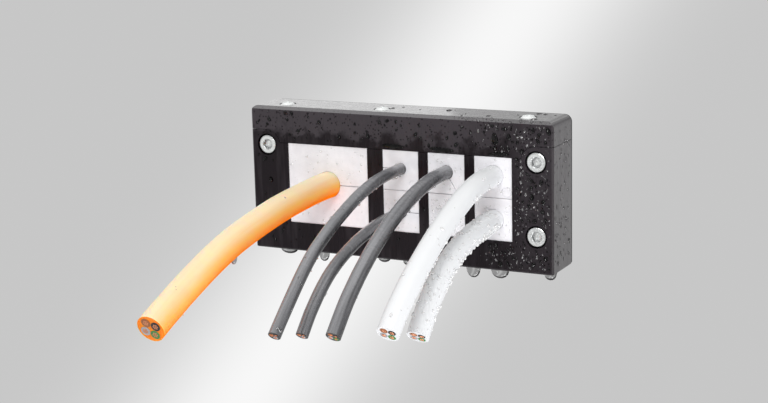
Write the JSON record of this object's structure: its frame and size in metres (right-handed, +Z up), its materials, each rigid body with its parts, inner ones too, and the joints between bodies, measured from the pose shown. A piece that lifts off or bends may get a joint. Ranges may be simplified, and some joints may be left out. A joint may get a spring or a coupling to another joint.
{
  "type": "cable entry plate",
  "caption": "Split cable entry plate: a black comb frame and screwed cover bar clamp pale slit grommets round cables passing through a wall cut-out.",
  "frame": {"origin": "centre of the four mounting screws, on the wall's face behind the gasket", "axes": "+X right along the plate, +Y into the wall along the mounting screws, +Z up; the front faces -Y"},
  "size_m": [0.1456, 0.1732, 0.0773],
  "materials": {
    "frame_nylon": "fine moulded grain, satin",
    "gasket_rubber": "matte",
    "pale_rubber": "matte elastomer",
    "zinc_steel": "bright zinc plated",
    "orange_sheath": "smooth, semi-gloss",
    "black_sheath": "smooth, satin",
    "white_sheath": "smooth, semi-gloss"
  },
  "bodies": {
    "root": {"comb_frame": "frame_nylon", "cover_bar": "frame_nylon", "panel_gasket": "gasket_rubber", "large_grommet": "pale_rubber", "grommet_1_upper": "pale_rubber", "grommet_1_lower": "pale_rubber", "grommet_2_upper": "pale_rubber", "grommet_2_blank": "pale_rubber", "grommet_3_upper": "pale_rubber", "grommet_3_lower": "pale_rubber", "mount_screw_upper_left": "zinc_steel", "mount_screw_upper_right": "zinc_steel", "mount_screw_lower_left": "zinc_steel", "mount_screw_lower_right": "zinc_steel", "cover_screw_left": "zinc_steel", "cover_screw_middle": "zinc_steel", "cover_screw_right": "zinc_steel", "cable_orange": "orange_sheath", "cable_black_1_upper": "black_sheath", "cable_black_1_lower": "black_sheath", "cable_black_2_upper": "black_sheath", "cable_white_3_upper": "white_sheath", "cable_white_3_lower": "white_sheath"}
  },
  "joints": []
}
